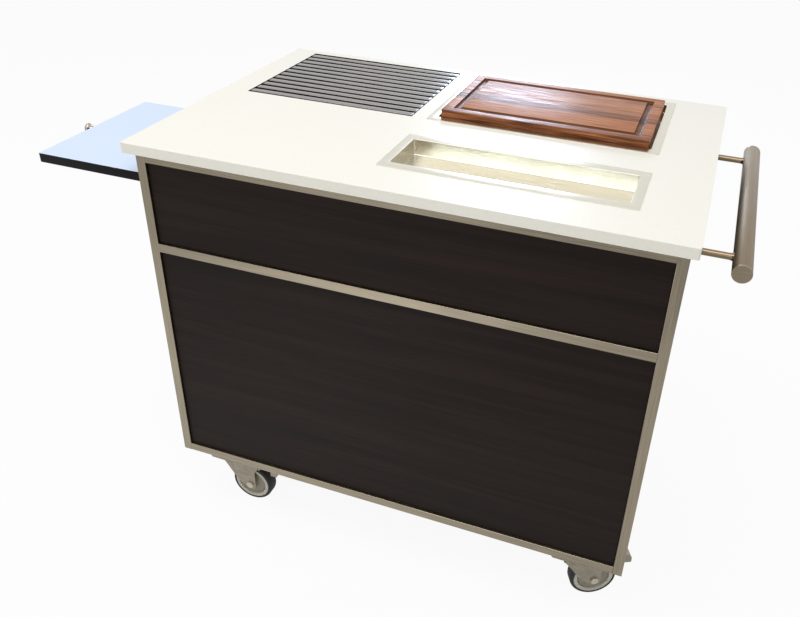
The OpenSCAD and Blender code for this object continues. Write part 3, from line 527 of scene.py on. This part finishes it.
# Radius of a pull's posts against its bar's
PULL_POST_SHARE = 0.8


def bar_pull(node, body):
    """A round bar on two posts that stand out towards +y. It lies along x or z, as its box does."""
    low, high = (np.array(corner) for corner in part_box(node))
    size = high - low
    way = 0 if size[0] > size[2] else 2
    axes = (ALONG_X, ALONG_Y, ALONG_Z)[way]
    radius = size[2 - way] / 2
    start = (low + high) / 2
    start[1] = high[1] - radius
    post = start.copy()
    post[1] = low[1]
    start[way] = low[way]
    shapes = [placed(rod(radius, size[way], 1.2 * MM), start, axes)]
    for end in (-1, 1):
        foot = post.copy()
        foot[way] += end * (size[way] / 2 - PULL_POST_INSET)
        stem = rod(PULL_POST_SHARE * radius, size[1] - radius, 0.2 * MM)
        shapes.append(placed(stem, foot, ALONG_Y))
    piece(node + "_bar", shapes, knob_steel, "handle_steel", body, node)


# The worktop's pans, board and grate

PAN_SHEET = 1.2 * MM
PAN_CORNER = 3 * MM
PAN_FOLD = 2 * MM
BOARD_PAN_OPENING = (430 * MM, 276 * MM)
TRAY_OPENING = (428 * MM, 121 * MM)
FLANGE_CORNER = 3 * MM
FLANGE_SHEET = 1 * MM


def pan(name, opening, body, node):
    """A pressed pan: its section runs from the floor up the wall, over the flange and under it."""
    low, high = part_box(node)
    centre = (low + high) / 2
    floor = low.z + PAN_SHEET
    inside = (opening[0] / 2, opening[1] / 2, PAN_CORNER)
    outside = tuple(size + PAN_SHEET for size in inside)
    flange = ((high.x - low.x) / 2, (high.y - low.y) / 2, FLANGE_CORNER)
    under = high.z - FLANGE_SHEET
    rows = [
        (0, 0, 0, floor), drawn_in((*inside, floor), 3 * PAN_FOLD),
        (*inside, floor), (*inside, high.z),
        (*flange, high.z), (*flange, under), (*outside, under), (*outside, low.z),
        drawn_in((*outside, low.z), 3 * PAN_FOLD), (0, 0, 0, low.z)]
    eases = np.array((0, 0, 2, 1.2, 0.3, 0.3, 0.5, 2, 0, 0)) * MM
    return piece(name, [stacked(eased(rows, eases), centre)], pan_steel, "polished_pan", body, node)


BOARD_CORNER = 3 * MM
GROOVE_INSET = 20 * MM
GROOVE_WIDTH = 14 * MM
GROOVE_CORNER = 3 * MM
GROOVE_DEPTH = 5 * MM
GROOVE_SLOPE = 2 * MM


def make_board():
    """The cutting board: its section runs from under it up its side and through the groove."""
    low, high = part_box("cutting_board")
    edge = ((high.x - low.x) / 2, (high.y - low.y) / 2, BOARD_CORNER)
    foot, top = (*edge, low.z), (*edge, high.z)
    groove = (edge[0] - GROOVE_INSET, edge[1] - GROOVE_INSET, GROOVE_CORNER, high.z)
    bottom = high.z - GROOVE_DEPTH
    rows = [
        (0, 0, 0, low.z), drawn_in(foot, 5 * MM), foot, top, drawn_in(top, 5 * MM), groove,
        drawn_in(groove, GROOVE_SLOPE, bottom),
        drawn_in(groove, GROOVE_WIDTH - GROOVE_SLOPE, bottom),
        drawn_in(groove, GROOVE_WIDTH), (0, 0, 0, high.z)]
    eases = np.array((0, 0, 1.5, 1.5, 0, 0.6, 3, 3, 0.6, 0)) * MM
    centre = np.array(middle("cutting_board"))
    board = piece("walnut_board", [stacked(eased(rows, eases), centre)],
                  (walnut, groove_shade_walnut), "walnut", "loose_board", "cutting_board")
    inside = np.array(groove[:2])
    # Painted shade: the faces inside the groove take the darker walnut
    second_finish(board, lambda middles, normals: (
        (np.abs(middles - centre)[:, :2] < inside).all(1) & (middles[:, 2] < high.z - 0.2 * MM)
        & (middles[:, 2] > low.z + 5 * MM)))


SLATS = 12
SLAT_PITCH = 26.3 * MM
SLAT_WIDTH = 16.5 * MM
SLAT_THICK = 6 * MM
SLAT_DIP = 0.5 * MM
CROSS_BARS = 4
CROSS_WIDTH = 10 * MM
CROSS_INSET = 10 * MM
# A slat's faces that look up less than this are its sides, which get the painted shade
SLAT_SIDE = 0.4


def make_grate():
    """Slats laid side by side on cross bars."""
    low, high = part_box("grate")
    under = high.z - SLAT_THICK
    shapes = []
    for i in range(SLATS):
        near = low.y + i * SLAT_PITCH
        shapes.append(bar((low.x, near, under), (high.x, near + SLAT_WIDTH, high.z),
                          1.6 * MM, 1.2 * MM, SLAT_DIP))
    step = (high.x - low.x - 2 * CROSS_INSET - CROSS_WIDTH) / (CROSS_BARS - 1)
    for i in range(CROSS_BARS):
        left = low.x + CROSS_INSET + i * step
        shapes.append(bar((left, low.y, low.z), (left + CROSS_WIDTH, high.y, under),
                          0.3 * MM, 0.6 * MM))
    slats = piece("grate_slats", shapes, (slat_steel, slat_side_shade_steel),
                  "grate_steel", "loose_grate", "grate")
    # Painted shade: the slats' sides take the darker copy of their steel
    second_finish(slats, lambda middles, normals: normals[:, 2] < SLAT_SIDE)


# The burner under the grate

BURNER_PORTS = 36
PORT_DEPTH = 2 * MM
BURNER_RING = 14 * MM
BURNER_THICK = 20 * MM
# Height of the sump's floor, where the burner's collar sits
NECK_TOP = 852 * MM


def make_burner():
    """A cast head with flame ports round its rim, on a neck with a mixing tube towards +y."""
    low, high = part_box("burner_head")
    radius = (high.x - low.x) / 2
    axis = (low.x + high.x) / 2, low.y + radius
    top = high.z
    head = lathe(eased([
        (0, top - 3 * MM), (radius - BURNER_RING, top - 3 * MM), (radius - BURNER_RING, top),
        (radius - 4 * MM, top), (radius, top - 5 * MM), (radius, top - 14 * MM),
        (radius - 8 * MM, top - BURNER_THICK), (0, top - BURNER_THICK)],
        np.array((0, 1, 1, 1, 1, 1, 2, 0)) * MM), 4 * BURNER_PORTS)
    # Ports: every fourth column of the rim lies further in
    height = head[:, :1, 2]
    port = (np.arange(head.shape[1]) % 4 == 0) & (height < top - 4 * MM) & (height > top - 15 * MM)
    head[..., :2] *= np.where(port, 1 - PORT_DEPTH / radius, 1.0)[..., None]
    neck_r, collar_r, mixer_r = 14 * MM, 24 * MM, 12 * MM
    mixer_z = low.z + mixer_r
    neck = lathe(eased([
        (0, mixer_z), (neck_r, mixer_z), (neck_r, NECK_TOP), (collar_r, NECK_TOP),
        (collar_r, NECK_TOP + 4 * MM), (neck_r, NECK_TOP + 4 * MM),
        (neck_r, top - 18 * MM), (0, top - 18 * MM)],
        np.array((0, 1, 0, 0.5, 1, 1, 0, 0)) * MM))
    mixer_len = high.y - axis[1]
    bore_r, bore_end = 8 * MM, mixer_len - 30 * MM
    mixer = lathe(eased([
        (0, 0), (mixer_r, 0), (mixer_r, mixer_len - 4 * MM), (mixer_r, mixer_len),
        (bore_r, mixer_len), (bore_r, bore_end), (0, bore_end)],
        np.array((0, 0, 1, 1, 1, 0, 0)) * MM), 32)
    shapes = [
        placed(head, (*axis, 0), ALONG_Z), placed(neck, (*axis, 0), ALONG_Z),
        placed(mixer, (*axis, mixer_z), ALONG_Y)]
    piece("burner_casting", shapes, cast_iron, "cast_iron", "cart_frame", "burner_head")


KNOB_BORE = 4.1 * MM
KNOB_FLUTES = 12
FLUTE_DEPTH = 0.05


def make_gas():
    """The cartridge that slides into its socket, and the control knob."""
    low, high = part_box("gas_cartridge")
    radius = (high.x - low.x) / 2
    nozzle = 6 * MM
    length = high.y - low.y
    can = lathe(eased([
        (0, 0), (11 * MM, 0), (12 * MM, nozzle), (radius - 4 * MM, nozzle),
        (radius - 1 * MM, nozzle + 3 * MM), (radius - 1 * MM, nozzle + 8 * MM),
        (radius, nozzle + 10 * MM), (radius, length - 4 * MM),
        (radius - 4 * MM, length), (radius - 7 * MM, length - 5 * MM), (0, length - 8 * MM)],
        np.array((0, 1, 1, 2, 2, 1, 1, 3, 2, 2, 0)) * MM), 64)
    centre = ((low.x + high.x) / 2, low.y, (low.z + high.z) / 2)
    piece("cartridge_can", [placed(can, centre, ALONG_Y)],
          cartridge_paint, "cartridge", "cartridge", "gas_cartridge")

    low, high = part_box("burner_knob")
    radius = (high.x - low.x) / 2
    length = high.y - low.y
    knob = lathe(eased([
        (KNOB_BORE, 0), (radius, 0), (radius, 0.36 * length), (radius - 4 * MM, 0.45 * length),
        (radius - 5 * MM, length), (0, length)],
        np.array((0.3, 1, 2, 2, 3, 0)) * MM), 96)
    # Finger flutes: the cap's radius swells and shrinks on its way round
    angle = np.arctan2(knob[..., 1], knob[..., 0])
    cap = (knob[..., 2] > 0.44 * length) & (np.hypot(knob[..., 0], knob[..., 1]) > 0.7 * radius)
    swell = 1 - FLUTE_DEPTH * (1 + np.cos(KNOB_FLUTES * angle)) / 2
    knob[..., :2] *= np.where(cap, swell, 1.0)[..., None]
    bore = lathe(eased([(KNOB_BORE, 0), (KNOB_BORE, 12 * MM), (0, 12 * MM)], 0), 96)
    centre = ((low.x + high.x) / 2, low.y, (low.z + high.z) / 2)
    shapes = [placed(shape, centre, ALONG_Y) for shape in (knob, bore)]
    pointer_low = np.array(centre) + np.array((-1.5 * MM, 0.4 * length, 0.5 * radius))
    pointer_high = np.array(centre) + np.array((1.5 * MM, length, radius - 0.5 * MM))
    shapes.append(bar(pointer_low, pointer_high, 0.5 * MM, 1 * MM))
    piece("control_knob_cap", shapes, knob_plastic, "black_knob", "control_knob", "burner_knob")


# The push handle and the pull-out shelf

HANDLE_WALL = 2 * MM
# An end disc's plug: how far it reaches into the tube, and the gap round it
PLUG_REACH = 8 * MM
PLUG_GAP = 0.1 * MM
POST_WELD = 3 * MM


def make_handle():
    """A tube with a pressed-in disc at each end, held by two posts that are welded to it."""
    low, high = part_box("handle_tube")
    radius, length = (high.x - low.x) / 2, high.y - low.y
    inner = radius - HANDLE_WALL
    wall = [(inner, 0), (radius, 0), (radius, length), (inner, length), (inner, 0)]
    tube = lathe(eased(wall, np.array((0, 0.25, 0.25, 0.25, 0)) * MM), 96)
    axis = middle("handle_tube")
    piece("handle_bar", [placed(tube, (axis.x, low.y, axis.z), ALONG_Y)],
          handle_steel, "handle_steel", "cart_frame", "handle_tube")

    ends_low, ends_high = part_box("handle_caps")
    thick = low.y - ends_low.y
    plug_r = inner - PLUG_GAP
    disc = [(0, 0), (radius, 0), (radius, thick), (plug_r, thick),
            (plug_r, thick + PLUG_REACH), (0, thick + PLUG_REACH)]
    cap = lathe(eased(disc, np.array((0, 0.8, 0.25, 0, 1, 0)) * MM), 96)
    shapes = [
        placed(cap, (axis.x, ends_low.y, axis.z), ALONG_Y),
        placed(cap * (1, 1, -1), (axis.x, ends_high.y, axis.z), ALONG_Y)]
    piece("handle_end_discs", shapes, faced_steel, "handle_steel", "cart_frame", "handle_caps")

    low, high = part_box("handle_standoffs")
    post_r = (high.z - low.z) / 2
    reach = axis.x - radius - low.x
    weld = [(0, 0), (post_r, 0), (post_r, reach - POST_WELD),
            (post_r + 1.6 * MM, reach + 1.2 * MM), (0, reach + 4 * MM)]
    post = lathe(eased(weld, np.array((0, 0, 2.5, 0.5, 0)) * MM), 40)
    shapes = [placed(post, (low.x, y, axis.z), ALONG_X) for y in (low.y + post_r, high.y - post_r)]
    piece("handle_posts", shapes, post_steel, "handle_steel", "cart_frame", "handle_standoffs")


# The shelf's faces that look up or down more than this are pale, and the others are edging
SHELF_PALE = 0.9


def make_shelf():
    """The shelf board, pale on both faces and dark round its edges, with a turned knob."""
    low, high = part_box("pullout_shelf")
    board = piece("shelf_board", [bar(low, high, 0.5 * MM, 1.5 * MM)],
                  (shelf_face, shelf_edging), "shelf_board", "shelf", "pullout_shelf")
    second_finish(board, lambda middles, normals: np.abs(normals[:, 2]) < SHELF_PALE)

    low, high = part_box("shelf_knob")
    radius, length = (high.z - low.z) / 2, high.x - low.x
    turned = lathe(eased([
        (0, 0), (0.5 * radius, 0), (0.42 * radius, 0.3 * length), (0.5 * radius, 0.5 * length),
        (radius, 0.66 * length), (radius, 0.86 * length), (0.7 * radius, length), (0, length)],
        np.array((0, 0, 3, 2, 2, 2, 2, 0)) * MM), 64)
    origin = (high.x, (low.y + high.y) / 2, (low.z + high.z) / 2)
    piece("shelf_knob_turned", [placed(turned * (1, 1, -1), origin, ALONG_X)],
          knob_steel, "knob_steel", "shelf", "shelf_knob")


# Casters

CASTERS = ("fl", "fr", "rl", "rr")
# Radius inside which a wheel centre is the darker disc
RIM_INSIDE = 34.6 * MM
BOLT_SPAN = (72 * MM, 56 * MM)
BOLT_HEAD = 7 * MM
# Height of the caster plates' undersides, and how far above that the nuts sit
PLATE_UNDER = 126 * MM
PLATE_TO_NUT = 7 * MM
BOLT_RADIUS = 4 * MM
HEAD_THICK = 5 * MM
AXLE_RADIUS = 6 * MM
AXLE_HEAD = 9 * MM
# From the middle of the wheel to an end of its axle bolt
AXLE_REACH = 27 * MM


def hexagon(radius, height):
    """A six-sided head up the z axis, its rim chamfered."""
    rows = [(0, 0), (radius - 0.6 * MM, 0), (radius, 0.5 * MM), (radius, height - 0.5 * MM),
            (radius - 0.6 * MM, height), (0, height)]
    return lathe(rows, 6)


def make_bolts():
    """Each caster's plate has four bolts, with their heads below and their nuts in the channel."""
    reach = 2 * HEAD_THICK + PLATE_TO_NUT
    shapes = []
    for code in CASTERS:
        swivel = joints["swivel_" + code]["pos_m"]
        for side_x in (-0.5, 0.5):
            for side_y in (-0.5, 0.5):
                origin = (swivel[0] + side_x * BOLT_SPAN[0], swivel[1] + side_y * BOLT_SPAN[1],
                          PLATE_UNDER - HEAD_THICK)
                head = hexagon(BOLT_HEAD, HEAD_THICK)
                shank = rod(BOLT_RADIUS, reach + HEAD_THICK, 0.5 * MM)
                parts = (head, head + (0, 0, HEAD_THICK + PLATE_TO_NUT),
                         shank * (1, 1, reach / (reach + HEAD_THICK)))
                shapes += [placed(part, origin, ALONG_Z) for part in parts]
    piece("caster_bolt_sets", shapes, zinc, "zinc", "cart_frame", "caster_bolts")


def make_caster(code):
    """A pressed fork and pedal as constructed, and a wheel turned about its axle."""
    swivel, roll = joints["swivel_" + code], joints["roll_" + code]
    trail = np.array(roll["pos_m"]) - swivel["pos_m"]
    trail[2] = 0
    trail /= np.linalg.norm(trail)
    axle = np.array(roll["axis"], float)
    axes = (trail, np.cross(axle, trail), axle)
    centre = roll["pos_m"]
    tag = f"caster_{code}_"
    dressed(tag + "fork", zinc, SHEET_EDGE, "caster_" + code)
    dressed(tag + "pedal", zinc, SHEET_EDGE, "brake_" + code)

    # Half of each section: radius and half width, from the bore out
    half = np.array([
        (6.1, 17.5), (13, 17.5), (14, 16.5), (14.4, 12), (33, 12), (33.4, 10.4), (34.6, 10.4),
        (35.2, 14.4), (36, 15), (42.5, 15), (43.5, 14.2)]) * MM
    core = np.concatenate((half, half[::-1] * (1, -1), half[:1]))
    eases = np.concatenate(([0], np.full(len(core) - 2, 0.3 * MM), [0]))
    moulding = piece(tag + "wheel_centre", [placed(lathe(eased(core, eases), 72), centre, axes)],
                     (rim_plastic, disc_plastic), "wheel_core", "wheel_" + code, tag + "core")
    second_finish(moulding, lambda middles, normals: (
        np.linalg.norm(np.cross(middles - centre, axle), axis=1) < RIM_INSIDE))

    half = np.array([(43.55, 15.2), (44.5, 16), (46.5, 16), (50.5, 11.5)]) * MM
    tyre = np.concatenate((half, half[::-1] * (1, -1), half[:1]))
    eases = np.array((0, 0.6, 1.5, 3.5, 3.5, 1.5, 0.6, 0, 0)) * MM
    piece(tag + "tyre_moulding", [placed(lathe(eased(tyre, eases, 7), 96), centre, axes)],
          tyre_rubber, "tread", "wheel_" + code, tag + "tyre")

    shank = rod(AXLE_RADIUS, 2 * AXLE_REACH, 0.8 * MM) - (0, 0, AXLE_REACH)
    shapes = [placed(shank, centre, axes)]
    for start in (-AXLE_REACH + 0.6 * MM, AXLE_REACH - HEAD_THICK - 0.6 * MM):
        shapes.append(placed(hexagon(AXLE_HEAD, HEAD_THICK) + (0, 0, start), centre, axes))
    piece(tag + "axle_bolt", shapes, bright_zinc, "zinc", "caster_" + code, tag + "axle")


# Stage, lamps and camera

def stage_material():
    """White to the camera and in mirrors, as in a white studio, yet the floor keeps a shadow."""
    made, tree, shader = finish("white floor", "#F4F4F2", Roughness=0.9)
    path, seen = plainly_seen(tree)
    share = add(tree, "Math", {0: seen, 1: FLOOR_WHITE}, operation="MULTIPLY")
    glow = GLOW_LEVEL
    for gain, reach, (x, y) in GLOW_ZONES:
        at = measured(tree, (reach, reach, 1.0), (-x / reach, -y / reach, 0.0))
        zone = add(tree, "TexGradient", {"Vector": at}, gradient_type="QUADRATIC_SPHERE").outputs[1]
        glow = add(tree, "Math", {0: zone, 1: gain, 2: glow}, operation="MULTIPLY_ADD").outputs[0]
    level = add(tree, "MapRange", {"Value": path["Is Camera Ray"], "To Min": glow, "To Max": 1.0})
    white = add(tree, "Emission", {"Color": srgb("#FFFFFF"), "Strength": level.outputs[0]})
    mixed = add(tree, "MixShader", {0: share.outputs[0], 1: shader.outputs[0], 2: white.outputs[0]})
    tree.links.new(mixed.outputs[0], tree.nodes["Material Output"].inputs["Surface"])
    return made


def make_stage():
    """A plain floor, a white world and soft lamps."""
    half = FLOOR_SIDE / 2
    mesh = bpy.data.meshes.new("studio_floor")
    corners = [(-half, -half, 0), (half, -half, 0), (half, half, 0), (-half, half, 0)]
    mesh.from_pydata(corners, [], [(0, 1, 2, 3)])
    mesh.materials.append(stage_material())
    floor = bpy.data.objects.new("studio_floor", mesh)
    bpy.context.scene.collection.objects.link(floor)

    world = bpy.data.worlds.new("white studio")
    bpy.context.scene.world = world
    world.use_nodes = True
    tree = world.node_tree
    seen = plainly_seen(tree)[1]
    strength = add(tree, "MapRange", {"Value": seen, "To Min": AMBIENT, "To Max": 1.0})
    tree.nodes["Background"].inputs["Color"].default_value = srgb("#FFFFFF")
    tree.links.new(strength.outputs[0], tree.nodes["Background"].inputs["Strength"])

    for name, (place, aim, width, height, power, colour) in LAMPS.items():
        lamp = bpy.data.lights.new(name, "AREA")
        lamp.shape = "RECTANGLE"
        lamp.size = width
        lamp.size_y = height
        lamp.energy = power
        lamp.color = srgb(colour)[:3]
        held = bpy.data.objects.new(name, lamp)
        held.location = place
        look = np.array(aim) - place
        pitch = math.atan2(math.hypot(look[0], look[1]), -look[2])
        held.rotation_euler = (pitch, 0, math.atan2(-look[0], look[1]))
        bpy.context.scene.collection.objects.link(held)


def make_camera():
    """The photograph's camera."""
    lens = bpy.data.cameras.new("photo_camera")
    lens.lens = VIEW_LENS
    lens.shift_x, lens.shift_y = VIEW_SHIFT
    held = bpy.data.objects.new("photo_camera", lens)
    held.location = VIEW_PLACE
    held.rotation_euler = [math.radians(turn) for turn in VIEW_TURN]
    bpy.context.scene.collection.objects.link(held)
    bpy.context.scene.camera = held
    bpy.context.scene.view_settings.view_transform = "Standard"


make_camera()
make_stage()
make_frame()
make_cupboard()
pan("board_pan_pressing", BOARD_PAN_OPENING, "cart_frame", "board_pan")
pan("front_tray_pressing", TRAY_OPENING, "loose_tray", "front_tray")
make_board()
make_grate()
make_burner()
make_gas()
make_handle()
make_shelf()
make_bolts()
for caster in CASTERS:
    make_caster(caster)
